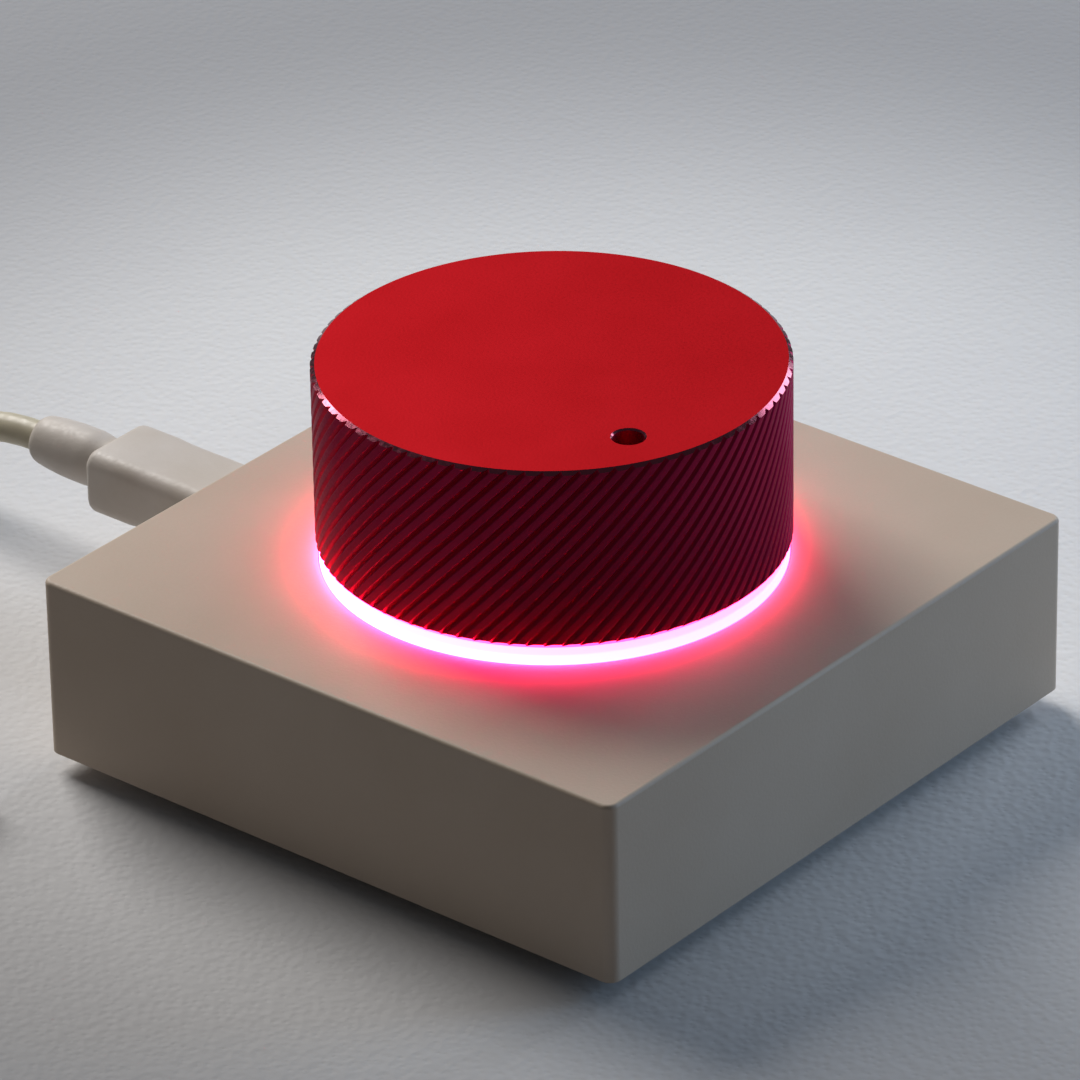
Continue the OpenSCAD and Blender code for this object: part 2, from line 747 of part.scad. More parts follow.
module socket_tongue() {
    color([0.12, 0.12, 0.13])
        translate([-tongue_w / 2, mouth_y - socket_len + sheet_t, plug_z - tongue_t / 2])
            cube([tongue_w, socket_len - tongue_back, tongue_t]);
}

/* Plug and lead */

module plug_body() {
    taper = 1.6;
    color([0.80, 0.77, 0.68]) {
        rounded_bar(plug_w, plug_h, 1.8, plug_face_y, plug_end_y - taper, 0, plug_z);
        hull() {
            rounded_bar(plug_w, plug_h, 1.8,
                plug_end_y - taper - min_edge, plug_end_y - taper, 0, plug_z, $fn = 32);
            rounded_bar(plug_w - taper, plug_h - taper, 1.4,
                plug_end_y - min_edge, plug_end_y, 0, plug_z, $fn = 32);
        }
    }
}

module plug_shell() {
    color([0.80, 0.81, 0.83]) difference() {
        rounded_bar(shell_w, shell_h, 0.4, plug_tip_y, plug_face_y, 0, plug_z);
        rounded_bar(shell_w - 2 * sheet_t, shell_h - 2 * sheet_t, 0.25,
            plug_tip_y - cut, plug_face_y - sheet_t, 0, plug_z);
    }
}

module strain_relief() {
    color([0.80, 0.77, 0.68]) translate([0, plug_end_y, plug_z]) rotate([-90, 0, 0])
        cylinder(h = relief_len, d1 = relief_d, d2 = max(relief_d - 0.5, cord_d + 0.8));
}

module usb_lead() {
    color([0.80, 0.77, 0.68]) swept_tube(lead_route, cord_r, 8, [0, 1, 0], [0, 1, 0]);
}

module lead_coil() {
    color([0.80, 0.77, 0.68]) swept_tube(coil_route, cord_r, 6, [0, 1, 0], [0, -1, 0]);
}

module lead_tail() {
    color([0.80, 0.77, 0.68]) swept_tube(tail_route, cord_r, 8, [0, -1, 0], [0, -1, 0]);
}

// A flat strap round the turns on each side of the coil, which rests on the two straps
module lead_ties() {
    near_r = sqrt(pow(coil_in_r - cord_r, 2) - pow(tie_w / 2, 2)) - tie_gap;
    far_r = coil_out_r + cord_r + tie_gap;
    low = coil_low_z - cord_r - tie_gap;
    high = coil_high_z + cord_r + tie_gap;
    color([0.15, 0.15, 0.16]) for (side = [-1, 1])
        translate([coil_x, coil_y + side * (near_r + far_r) / 2, (low + high) / 2])
            rotate([90, 0, 90]) linear_extrude(tie_w, center = true) difference() {
                rounded_rect(far_r - near_r + 2 * tie_t, high - low + 2 * tie_t, 1.4);
                rounded_rect(far_r - near_r, high - low, 0.8);
            }
}

module far_relief() {
    color([0.80, 0.77, 0.68]) translate([far_x, far_plug_y, far_z]) rotate([-90, 0, 0])
        cylinder(h = far_relief_len, d1 = relief_d, d2 = max(relief_d - 0.9, cord_d + 0.8));
}

module far_plug_body() {
    color([0.80, 0.77, 0.68])
        rounded_bar(far_plug_w, far_plug_h, 1.6, far_shell_y, far_plug_y, far_x, far_z);
}

module far_plug_shell() {
    low_y = far_shell_y - far_shell_len;
    window_w = 2.2;
    window_len = 2.6;
    window_at = 4;
    color([0.80, 0.81, 0.83]) difference() {
        rounded_bar(far_shell_w, far_shell_h, 0.4, low_y, far_shell_y, far_x, far_z);
        rounded_bar(far_shell_w - 2 * sheet_t, far_shell_h - 2 * sheet_t, 0.2,
            low_y - cut, far_shell_y - sheet_t, far_x, far_z);
        for (x = [-1, 1])
            translate([far_x + x * far_shell_w / 4 - window_w / 2, low_y + window_at, far_z - far_shell_h])
                cube([window_w, window_len, 2 * far_shell_h]);
    }
}

module far_plug_tongue() {
    low_y = far_shell_y - far_shell_len;
    far_tongue_t = 1.9;
    color([0.93, 0.93, 0.92])
        rounded_bar(far_shell_w - 2 * sheet_t, far_tongue_t, 0.3, low_y + 0.4, far_shell_y - sheet_t,
            far_x, far_z - far_shell_h / 2 + sheet_t + far_tongue_t / 2);
}

base_shell();
bottom_cover();
cover_screws();
rubber_feet();
knob();
knob_insert();
encoder_shaft();
switch_plunger();
encoder_body();
encoder_neck();
encoder_washer();
encoder_nut();
encoder_pins();
switch_dome();
light_ring();
led_board();
leds();
main_board();
board_screws();
controller_chip();
crystal();
capacitors();
resistors();
header_strip();
header_pins();
usb_socket();
socket_tongue();
plug_body();
plug_shell();
strain_relief();
usb_lead();
lead_coil();
lead_tail();
lead_ties();
far_relief();
far_plug_body();
far_plug_shell();
far_plug_tongue();
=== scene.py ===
import math

import bmesh
import bpy
from mathutils import Matrix, Vector


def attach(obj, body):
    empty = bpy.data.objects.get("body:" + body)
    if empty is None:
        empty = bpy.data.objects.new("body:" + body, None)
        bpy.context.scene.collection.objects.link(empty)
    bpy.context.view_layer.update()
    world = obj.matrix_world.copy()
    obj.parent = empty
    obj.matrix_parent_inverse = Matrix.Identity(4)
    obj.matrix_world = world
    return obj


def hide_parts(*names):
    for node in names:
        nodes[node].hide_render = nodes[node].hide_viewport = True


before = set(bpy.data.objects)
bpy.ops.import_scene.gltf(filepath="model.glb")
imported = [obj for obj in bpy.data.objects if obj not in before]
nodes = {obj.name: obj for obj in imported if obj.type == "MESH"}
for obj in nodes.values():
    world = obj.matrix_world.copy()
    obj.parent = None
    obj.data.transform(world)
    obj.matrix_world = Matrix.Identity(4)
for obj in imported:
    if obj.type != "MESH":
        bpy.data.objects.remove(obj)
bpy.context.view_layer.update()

MM = 0.001
TURN = 2 * math.pi

# The same places as in the part's source, in millimetres
TOP_Z = 23.8            # top face of the box
KNOB_Z, KNOB_TOP = 25.7, 47.3
KNOB_R = 26.25
TOP_EDGE_R, BOTTOM_EDGE_R = 25.75, 25.55
PLUG_Z = 12.4
PLUG_FACE_Y, PLUG_END_Y = 38.0, 65.6
CORD_R = 1.8

SAME_POINT = 1e-7       # corners nearer than this are one, in metres
WELD = 2e-6             # the same for joined copies and for the CAD's loose triangles


# ---- camera, fitted to the box's edges and the knob's outlines ----

def make_camera():
    """The photograph's view: a pinhole camera aimed close to the middle of the box's top face."""
    azimuth, elevation, roll = -0.877664, 0.504197, -0.0171578      # radians
    distance, across, along = 886.1015, 1.60, -0.84                 # millimetres from the top face's middle
    side = Vector((math.cos(azimuth), math.sin(azimuth), 0))
    back = Vector((math.sin(azimuth) * math.cos(elevation),
                   -math.cos(azimuth) * math.cos(elevation), math.sin(elevation)))
    rise = back.cross(side)
    right = side * math.cos(roll) + rise * math.sin(roll)
    up = rise * math.cos(roll) - side * math.sin(roll)
    place = (back * distance - right * across - up * along + Vector((0, 0, TOP_Z))) * MM
    data = bpy.data.cameras.new("camera")
    data.sensor_width = 36
    data.lens = 268.78
    data.clip_start, data.clip_end = 0.02, 30
    camera = bpy.data.objects.new("camera", data)
    camera.matrix_world = Matrix.Translation(place) @ Matrix((right, up, back)).transposed().to_4x4()
    bpy.context.scene.collection.objects.link(camera)
    bpy.context.scene.camera = camera


make_camera()


# ---- colours and nodes ----

def paint(code):
    """An sRGB hex colour as linear red, green, blue and alpha."""
    parts = [int(code[i:i + 2], 16) / 255 for i in (1, 3, 5)]
    return tuple(p / 12.92 if p <= 0.04045 else ((p + 0.055) / 1.055) ** 2.4 for p in parts) + (1.0,)


def add(tree, kind, links=None, values=None, **fields):
    """One node of a shader or geometry tree, with its fields, its input values and its links."""
    made = tree.nodes.new(kind)
    for field, value in fields.items():
        setattr(made, field, value)
    for key, value in (values or {}).items():
        made.inputs[key].default_value = value
    for key, socket in (links or {}).items():
        tree.links.new(socket, made.inputs[key])
    return made


def finish_of(name, colour, roughness, metallic=0.0, **more):
    """A new material with one shader, and the object's own coordinates for its patterns."""
    material = bpy.data.materials.new(name)
    material.use_nodes = True
    material.diffuse_color = paint(colour)
    tree = material.node_tree
    tree.nodes.clear()
    values = {"Base Color": paint(colour), "Roughness": roughness, "Metallic": metallic}
    values.update(more)
    shader = add(tree, "ShaderNodeBsdfPrincipled", values=values)
    add(tree, "ShaderNodeOutputMaterial", {"Surface": shader.outputs[0]})
    place = add(tree, "ShaderNodeTexCoord").outputs["Object"]
    return material, tree, shader, place


def two_tones(tree, shader, mask, colour, other, low=0.35, high=0.65):
    """The shader's colour goes from one tone to the other over the mask."""
    spread = add(tree, "ShaderNodeMapRange", {"Value": mask}, {"From Min": low, "From Max": high})
    mixed = add(tree, "ShaderNodeMix", {"Factor": spread.outputs[0]}, data_type="RGBA")
    mixed.inputs["A"].default_value, mixed.inputs["B"].default_value = paint(colour), paint(other)
    tree.links.new(mixed.outputs["Result"], shader.inputs["Base Color"])
    return mixed.outputs["Result"]


def noise(tree, place, size_mm, detail=2.0, rough=0.5):
    """Soft noise whose grains are about size_mm across."""
    return add(tree, "ShaderNodeTexNoise", {"Vector": place},
               {"Scale": 1 / (size_mm * MM), "Detail": detail, "Roughness": rough}).outputs["Fac"]


def relief(tree, shader, height, depth_mm, under=None):
    """Raises the surface by depth_mm where height is 1."""
    links = {"Height": height}
    if under is not None:
        links["Normal"] = under
    bump = add(tree, "ShaderNodeBump", links, {"Strength": 1.0, "Distance": depth_mm * MM})
    tree.links.new(bump.outputs[0], shader.inputs["Normal"])
    return bump.outputs[0]


def vary_roughness(tree, shader, mask, low, high):
    """The roughness goes from low to high over the mask."""
    spread = add(tree, "ShaderNodeMapRange", {"Value": mask},
                 {"From Min": 0.3, "From Max": 0.7, "To Min": low, "To Max": high})
    tree.links.new(spread.outputs[0], shader.inputs["Roughness"])


def along(tree, place, axis):
    """One coordinate of a place."""
    return add(tree, "ShaderNodeSeparateXYZ", {"Vector": place}).outputs[axis]


def sums(tree, operation, first, second=None, third=None):
    """A sum on up to three terms, each a number or a socket."""
    links, values = {}, {}
    for i, term in enumerate((first, second, third)):
        if isinstance(term, (int, float)):
            values[i] = term
        elif term is not None:
            links[i] = term
    return add(tree, "ShaderNodeMath", links, values, operation=operation).outputs[0]


# ---- finishes ----

def moulded_abs(name, colour, other):
    """Injection-moulded ABS from a spark-eroded mould: a fine even grain and a dry low sheen."""
    material, tree, shader, place = finish_of(name, colour, 0.55, **{"IOR": 1.53})
    broad = noise(tree, place, 26, 3)
    two_tones(tree, shader, broad, colour, other)
    grain = noise(tree, place, 0.45, 3, 0.6)        # the real grain is near 0.1 mm, drawn coarser so it shows
    vary_roughness(tree, shader, grain, 0.50, 0.66)
    relief(tree, shader, grain, 0.022)
    return material


def anodised(name, colour, other, roughness, grain_mm, depth_mm, clear_sheen, edge_tint):
    """Dyed anodised aluminium: metal under a dyed oxide, whose clear skin adds a white highlight where smooth."""
    material, tree, shader, place = finish_of(name, colour, roughness, 1.0, **{
        "Coat Weight": clear_sheen, "Coat Roughness": 0.2, "Coat IOR": 1.6, "Specular Tint": paint(edge_tint)})
    two_tones(tree, shader, noise(tree, place, 9, 3), colour, other, 0.3, 0.7)
    grain = noise(tree, place, grain_mm, 2)
    vary_roughness(tree, shader, grain, roughness - 0.05, roughness + 0.07)
    relief(tree, shader, grain, depth_mm)
    return material


def knurled():
    """Anodised knurl: deep red lands; the grooves are painted a brighter red towards their floor, a painted light
    that lifts the shade falling in them.
    """
    land_red, land_shade, painted_groove_light = "#9C1842", "#94163D", "#BE2048"
    painted_light_from, painted_light_full = 0.02, 0.36           # the depths where the painted lightening of the grooves starts and is full
    material, tree, shader, place = finish_of("anodised_aluminium_knurled", land_red, 0.5, 1.0, **{
        "Coat Weight": 0.08, "Coat Roughness": 0.2, "Coat IOR": 1.6, "Specular Tint": paint("#EBC0CA")})
    lands = two_tones(tree, shader, noise(tree, place, 9, 3), land_red, land_shade, 0.3, 0.7)
    level = add(tree, "ShaderNodeVectorMath", {0: place}, {1: (1, 1, 0)}, operation="MULTIPLY").outputs["Vector"]
    reach = add(tree, "ShaderNodeVectorMath", {0: level}, operation="LENGTH").outputs["Value"]
    depth = add(tree, "ShaderNodeMapRange", {"Value": reach}, {
        "From Min": (KNOB_R - painted_light_from) * MM, "From Max": (KNOB_R - painted_light_full) * MM}).outputs[0]
    # painted light: the grooves are lightened towards their floor to lift the shade that falls in them
    whole = add(tree, "ShaderNodeMix", {"Factor": depth, "A": lands}, data_type="RGBA")
    whole.inputs["B"].default_value = paint(painted_groove_light)
    tree.links.new(whole.outputs["Result"], shader.inputs["Base Color"])
    grain = noise(tree, place, 0.35, 2)
    vary_roughness(tree, shader, grain, 0.45, 0.57)
    relief(tree, shader, grain, 0.010)
    return material


def lit_acrylic():
    """Frosted acrylic with lamps behind it: its rim glows white-hot red, its upper face less."""
    material, tree, shader, place = finish_of("frosted_acrylic_lit", "#F4C9CF", 0.45, **{
        "Emission Color": (1.0, 0.027, 0.145, 1.0), "IOR": 1.49})
    rim_glow, top_glow = 35.0, 28.0
    round_from, round_to = 24.8, 25.0               # heights between which the rim turns into the upper face
    bright_x, bright_y, reach = -0.64, 0.77, 0.026  # the glow is made stronger towards this side of the ring
    height = along(tree, place, "Z")
    fall = add(tree, "ShaderNodeMapRange", {"Value": height}, {
        "From Min": round_from * MM, "From Max": round_to * MM, "To Min": rim_glow, "To Max": top_glow},
        interpolation_type="SMOOTHSTEP").outputs[0]
    aside = sums(tree, "MULTIPLY_ADD", along(tree, place, "X"), bright_x / reach, 1.0)
    lean = sums(tree, "MULTIPLY_ADD", along(tree, place, "Y"), bright_y / reach, aside)
    gain = add(tree, "ShaderNodeMapRange", {"Value": lean}, {
        "From Min": 0.0, "From Max": 2.0, "To Min": 0.7, "To Max": 1.4}).outputs[0]
    tree.links.new(sums(tree, "MULTIPLY", fall, gain), shader.inputs["Emission Strength"])
    relief(tree, shader, noise(tree, place, 0.3), 0.01)
    return material


def frosted_acrylic():
    """The ring's hidden walls: the same acrylic, unlit."""
    material, tree, shader, place = finish_of("frosted_acrylic", "#F1DADC", 0.5, **{
        "Transmission Weight": 0.35, "IOR": 1.49})
    relief(tree, shader, noise(tree, place, 0.3), 0.01)
    return material


def soft_pvc(name, colour, other, grain_mm, depth_mm, roughness):
    """Soft PVC: a satin skin, faintly uneven, that picks up a little dust."""
    material, tree, shader, place = finish_of(name, colour, roughness, **{"IOR": 1.52})
    two_tones(tree, shader, noise(tree, place, 7, 3), colour, other)
    grain = noise(tree, place, grain_mm, 2)
    vary_roughness(tree, shader, grain, roughness - 0.06, roughness + 0.08)
    relief(tree, shader, grain, depth_mm)
    return material


def silicone_rubber():
    """Black silicone rubber feet: matt, with fine moulded pimples and a grey bloom."""
    material, tree, shader, place = finish_of("silicone_rubber", "#1C1C1D", 0.75, **{"IOR": 1.41})
    two_tones(tree, shader, noise(tree, place, 3, 4), "#18181A", "#2B2A29")
    relief(tree, shader, noise(tree, place, 0.4), 0.03)
    return material


def drawn_metal(name, colour, other, roughness, stretch, depth_mm=0.004):
    """Rolled, turned or plated metal with fine lines left by the tool, stretched along one axis."""
    material, tree, shader, place = finish_of(name, colour, roughness, 1.0)
    lines = add(tree, "ShaderNodeMapping", {"Vector": place}, {"Scale": stretch}).outputs[0]
    streaks = noise(tree, lines, 0.25, 3)
    two_tones(tree, shader, noise(tree, place, 2.5, 3), colour, other)
    vary_roughness(tree, shader, streaks, roughness - 0.07, roughness + 0.1)
    relief(tree, shader, streaks, depth_mm)
    return material


def filled_nylon(name, colour, other, roughness=0.5):
    """Glass-filled nylon or epoxy: dull, with short pale flecks of fibre."""
    material, tree, shader, place = finish_of(name, colour, roughness, **{"IOR": 1.53})
    flecks = add(tree, "ShaderNodeTexVoronoi", {"Vector": place}, {"Scale": 1 / (0.35 * MM)}).outputs["Distance"]
    two_tones(tree, shader, flecks, other, colour, 0.05, 0.3)
    relief(tree, shader, noise(tree, place, 0.3, 3), 0.008)
    return material


def circuit_board(name, mask_colour, copper_colour, bare_colour):
    """FR-4 board: glossy solder mask over raised copper tracks, with a grid of small tinned pads."""
    material, tree, shader, place = finish_of(name, mask_colour, 0.3, **{"IOR": 1.55, "Coat Weight": 0.3})
    tracks = add(tree, "ShaderNodeTexBrick", {"Vector": place}, {
        "Scale": 1 / (5.0 * MM), "Mortar Size": 0.03, "Mortar Smooth": 0.1, "Bias": 0.0,
        "Brick Width": 0.9, "Row Height": 0.24, "Color1": (0, 0, 0, 1), "Color2": (0, 0, 0, 1),
        "Mortar": (1, 1, 1, 1)}, offset=0.37).outputs["Fac"]
    inked = two_tones(tree, shader, tracks, mask_colour, copper_colour, 0.3, 0.7)
    spots = add(tree, "ShaderNodeTexVoronoi", {"Vector": place},
                {"Scale": 1 / (2.54 * MM), "Randomness": 0.35}).outputs["Distance"]
    pad = sums(tree, "LESS_THAN", spots, 0.14)
    tinned = add(tree, "ShaderNodeMix", {"Factor": pad, "A": inked}, data_type="RGBA")
    tinned.inputs["B"].default_value = paint(bare_colour)
    tree.links.new(tinned.outputs["Result"], shader.inputs["Base Color"])
    tree.links.new(pad, shader.inputs["Metallic"])
    relief(tree, shader, sums(tree, "MAXIMUM", tracks, pad), 0.035)
    return material


def chip_part(name, colour, other, end_colour, axis, middle_mm, half_mm):
    """A surface-mounted part: a matt ceramic or epoxy body with tinned ends past half_mm."""
    material, tree, shader, place = finish_of(name, colour, 0.55)
    body = two_tones(tree, shader, noise(tree, place, 0.5, 3), colour, other)
    out = sums(tree, "ABSOLUTE", sums(tree, "SUBTRACT", along(tree, place, axis), middle_mm * MM))
    end = sums(tree, "GREATER_THAN", out, half_mm * MM)
    ends = add(tree, "ShaderNodeMix", {"Factor": end, "A": body}, data_type="RGBA")
    ends.inputs["B"].default_value = paint(end_colour)
    tree.links.new(ends.outputs["Result"], shader.inputs["Base Color"])
    tree.links.new(end, shader.inputs["Metallic"])
    relief(tree, shader, noise(tree, place, 0.2), 0.01)
    return material


def woven_strap():
    """Woven nylon hook-and-loop strap: fine crossing threads and a dry fuzz."""
    material, tree, shader, place = finish_of("woven_nylon_strap", "#1B1B1E", 0.85, **{
        "Sheen Weight": 0.4, "Sheen Roughness": 0.5})
    thread = {"Scale": 1 / (0.9 * MM * TURN) * 2, "Distortion": 0.6}        # drawn coarser than woven, so it shows
    warp, weft = (add(tree, "ShaderNodeTexWave", {"Vector": place}, thread, bands_direction=way).outputs["Fac"]
                  for way in ("X", "DIAGONAL"))
    weave = sums(tree, "MULTIPLY", warp, weft)
    two_tones(tree, shader, weave, "#101012", "#2E2E33", 0.1, 0.8)
    relief(tree, shader, weave, 0.12)
    return material


def lamp_gel():
    """The clear gel in a lamp's cup over its lit dies."""
    material, tree, shader, place = finish_of("lamp_gel", "#F7D9C4", 0.2, **{
        "Emission Color": (1.0, 0.06, 0.10, 1.0), "Emission Strength": 2.0, "Coat Weight": 0.5})
    relief(tree, shader, noise(tree, place, 0.8), 0.02)
    return material


BOX_ABS = moulded_abs("abs_warm_white", "#C2B09E", "#BCA996")
COVER_ABS = moulded_abs("abs_cover", "#BDB1A6", "#B6AA9F")
BLASTED_RED = anodised("anodised_aluminium_blasted", "#B41720", "#AE141C", 0.56, 0.35, 0.010, 0.02, "#EBCACA")
KNURLED_RED = knurled()
CUT_RED = anodised("anodised_aluminium_cut", "#98485C", "#904255", 0.17, 0.5, 0.003, 0.2, "#FFFFFF")
LIT_RIM = lit_acrylic()
DULL_RIM = frosted_acrylic()
LEAD_PVC = soft_pvc("pvc_lead_jacket", "#C4BBA4", "#BCB29B", 0.8, 0.015, 0.42)
PLUG_PVC = soft_pvc("pvc_overmould", "#CCC3BB", "#C5BBB1", 0.5, 0.02, 0.5)
FOOT_RUBBER = silicone_rubber()
PLATED = drawn_metal("nickel_plated_steel", "#C6C5C1", "#B9B7B2", 0.28, (1, 12, 1))
TURNED_STEEL = drawn_metal("turned_steel", "#B9B8B6", "#A9A7A4", 0.3, (1, 1, 14))
TURNED_BRASS = drawn_metal("turned_brass", "#D3B36A", "#C09D55", 0.3, (1, 1, 14))
ZINC_SCREW = drawn_metal("zinc_plated_screw", "#9FA1A5", "#8C8E93", 0.35, (6, 6, 6))
GOLD_PIN = drawn_metal("gold_flashed_pin", "#D9BE77", "#CDAF66", 0.3, (1, 1, 9))
BLACK_NYLON = filled_nylon("glass_filled_nylon", "#161617", "#2C2C2E")
WHITE_NYLON = filled_nylon("acetal_white", "#DEDDD8", "#E8E7E3", 0.4)
LAMP_WHITE = filled_nylon("lamp_housing_white", "#E2E0DA", "#ECEAE5", 0.45)
LAMP_GEL = lamp_gel()
GREEN_BOARD = circuit_board("solder_mask_green", "#12472F", "#1D5E3E", "#C9C7BE")
WHITE_BOARD = circuit_board("solder_mask_white", "#DAD9D3", "#CCCBC4", "#C9C7BE")
CERAMIC = chip_part("ceramic_capacitor", "#9C7A55", "#8C6B49", "#C9C8C4", "X", -9.0, 0.62)
RESISTOR = chip_part("thick_film_resistor", "#1B1B1D", "#242427", "#C9C8C4", "Y", 29.0, 0.6)
STRAP = woven_strap()


# ---- mesh helpers ----

def object_from(name, mesh):
    """A new object in the scene, at the origin."""
    made = bpy.data.objects.new(name, mesh)
    bpy.context.scene.collection.objects.link(made)
    return made


def soften(mesh, angle=32):
    """Smooth shading, broken at edges sharper than the angle."""
    mesh.shade_smooth()
    mesh.set_sharp_from_angle(angle=math.radians(angle))


def closed_mesh(name, corners, faces, second=(), materials=()):
    """A closed mesh from corners in millimetres, its faces outward. Faces in second take the second finish."""
    work = bmesh.new()
    points = [work.verts.new(Vector(c) * MM) for c in corners]
    mark = work.faces.layers.bool.new("second_finish")
    for i, face in enumerate(faces):
        ring = []
        for k in face:
            if points[k] not in ring:
                ring.append(points[k])
        if len(ring) > 2:
            work.faces.new(ring)[mark] = i in second
    bmesh.ops.remove_doubles(work, verts=work.verts, dist=SAME_POINT)
    bmesh.ops.recalc_face_normals(work, faces=work.faces)
    mesh = bpy.data.meshes.new(name)
    work.to_mesh(mesh)
    work.free()
    for material in materials:
        mesh.materials.append(material)
    if len(materials) > 1:
        flags = [int(flag.value) for flag in mesh.attributes["second_finish"].data]
        mesh.polygons.foreach_set("material_index", flags)
    soften(mesh)
    return mesh


def turned(name, profile, steps, materials=(), second=(), loop=False):
    """A solid of revolution about Z. profile holds (radius, z); a radius may be a function of the angle.
    The bands named in second take the second finish. A loop closes the last ring onto the first."""
    corners, rings = [], []
    for radius, z in profile:
        if radius == 0:
            corners.append((0, 0, z))
            rings.append([len(corners) - 1] * steps)
            continue
        ring = []
        for i in range(steps):
            angle = TURN * i / steps
            reach = radius(angle) if callable(radius) else radius
            corners.append((reach * math.cos(angle), reach * math.sin(angle), z))
            ring.append(len(corners) - 1)
        rings.append(ring)
    if loop:
        rings.append(rings[0])
    faces, marked = [], set()
    for band, (low, high) in enumerate(zip(rings, rings[1:])):
        for i in range(steps):
            if band in second:
                marked.add(len(faces))
            faces.append((low[i], low[(i + 1) % steps], high[(i + 1) % steps], high[i]))
    return closed_mesh(name, corners, faces, marked, materials)


def square_of(half):
    """The radius, at each angle, of a square with that half side."""
    return lambda angle: half / max(abs(math.cos(angle)), abs(math.sin(angle)))


def hexagon_of(half):
    """The radius, at each angle, of a hexagon with that half width over its flats."""
    return lambda angle: half / math.cos((angle % (math.pi / 3)) - math.pi / 6)


def bar(name, sections, materials, corner_steps=6, x=0.0, z=0.0):
    """A bar along Y, lofted through rounded rectangles given as (y, width, height, corner radius)."""
    corners, rings = [], []
    for y, width, height, radius in sections:
        ring = []
        for k, (sx, sz) in enumerate(((1, 1), (-1, 1), (-1, -1), (1, -1))):
            for i in range(corner_steps + 1):
                angle = TURN / 4 * (k + i / corner_steps)
                corners.append((x + sx * (width / 2 - radius) + radius * math.cos(angle), y,
                                z + sz * (height / 2 - radius) + radius * math.sin(angle)))
                ring.append(len(corners) - 1)
        rings.append(ring)
    faces = [tuple(rings[0]), tuple(rings[-1])]
    for low, high in zip(rings, rings[1:]):
        for i in range(len(low)):
            k = (i + 1) % len(low)
            faces.append((low[i], low[k], high[k], high[i]))
    return closed_mesh(name, corners, faces, (), materials)


def onto_y(mesh, x, y, z):
    """Turns a mesh made about Z so that it runs along +Y from (x, y, z), in millimetres."""
    mesh.transform(Matrix.Translation(Vector((x, y, z)) * MM) @ Matrix.Rotation(-math.pi / 2, 4, "X"))
    return mesh


def settle(piece, body, slot, *stands_for):
    """The piece rides on a body and stands for CAD nodes, which are hidden; the slot is not used."""
    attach(piece, body)
    if stands_for:
        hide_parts(*stands_for)
    return piece


# ---- one geometry tree for everything that repeats round the axis ----

def make_ring_tree():
    """Copies of the incoming mesh in a ring: Count copies at Radius, the first at Start."""
    tree = bpy.data.node_groups.new("copies_in_a_ring", "GeometryNodeTree")
    face = tree.interface
    for name, kind in (("Copy", "NodeSocketGeometry"), ("Count", "NodeSocketInt"), ("Radius", "NodeSocketFloat"),
                       ("Start", "NodeSocketFloat"), ("Weld", "NodeSocketFloat"),
                       ("Finish", "NodeSocketMaterial"), ("Second finish", "NodeSocketMaterial")):
        face.new_socket(name=name, in_out="INPUT", socket_type=kind)
    face.new_socket(name="Ring", in_out="OUTPUT", socket_type="NodeSocketGeometry")
    given = add(tree, "NodeGroupInput").outputs
    index = add(tree, "GeometryNodeInputIndex").outputs[0]
    share = sums(tree, "DIVIDE", index, given["Count"])
    angle = sums(tree, "MULTIPLY_ADD", share, TURN, given["Start"])
    across = sums(tree, "MULTIPLY", sums(tree, "COSINE", angle), given["Radius"])
    along_y = sums(tree, "MULTIPLY", sums(tree, "SINE", angle), given["Radius"])
    place = add(tree, "ShaderNodeCombineXYZ", {"X": across, "Y": along_y})
    points = add(tree, "GeometryNodePoints", {"Count": given["Count"], "Position": place.outputs[0]})
    turn = add(tree, "ShaderNodeCombineXYZ", {"Z": angle})
    spin = add(tree, "FunctionNodeEulerToRotation", {0: turn.outputs[0]})
    copies = add(tree, "GeometryNodeInstanceOnPoints", {
        "Points": points.outputs[0], "Instance": given["Copy"], "Rotation": spin.outputs[0]})
    solid = add(tree, "GeometryNodeRealizeInstances", {"Geometry": copies.outputs[0]})
    welded = add(tree, "GeometryNodeMergeByDistance", {"Geometry": solid.outputs[0], "Distance": given["Weld"]})
    main = add(tree, "GeometryNodeSetMaterial", {"Geometry": welded.outputs[0], "Material": given["Finish"]})
    flag = add(tree, "GeometryNodeInputNamedAttribute", values={"Name": "second_finish"}, data_type="BOOLEAN")
    other = add(tree, "GeometryNodeSetMaterial", {
        "Geometry": main.outputs[0], "Selection": flag.outputs["Attribute"], "Material": given["Second finish"]})
    add(tree, "NodeGroupOutput", {"Ring": other.outputs[0]})
    return tree


RING_TREE = make_ring_tree()


def ring_of(name, mesh, count, radius_mm, start, finish, second=None):
    """A new plain mesh object: copies of the mesh in a ring."""
    mesh.materials.append(finish)
    seed = object_from(name + "_seed", mesh)
    modifier = seed.modifiers.new("ring", "NODES")
    modifier.node_group = RING_TREE
    wanted = {"Count": count, "Radius": radius_mm * MM, "Start": start, "Weld": WELD,
              "Finish": finish, "Second finish": second or finish}
    for socket in RING_TREE.interface.items_tree:
        if socket.name in wanted:
            modifier[socket.identifier] = wanted[socket.name]
    bpy.context.view_layer.update()
    whole = seed.evaluated_get(bpy.context.evaluated_depsgraph_get())
    made = bpy.data.meshes.new_from_object(whole)
    made.name = name
    bpy.data.objects.remove(seed)
    bpy.data.meshes.remove(mesh)
    soften(made)
    return object_from(name, made)


# ---- the lead: one cord from the strain relief through its coil to the far plug ----

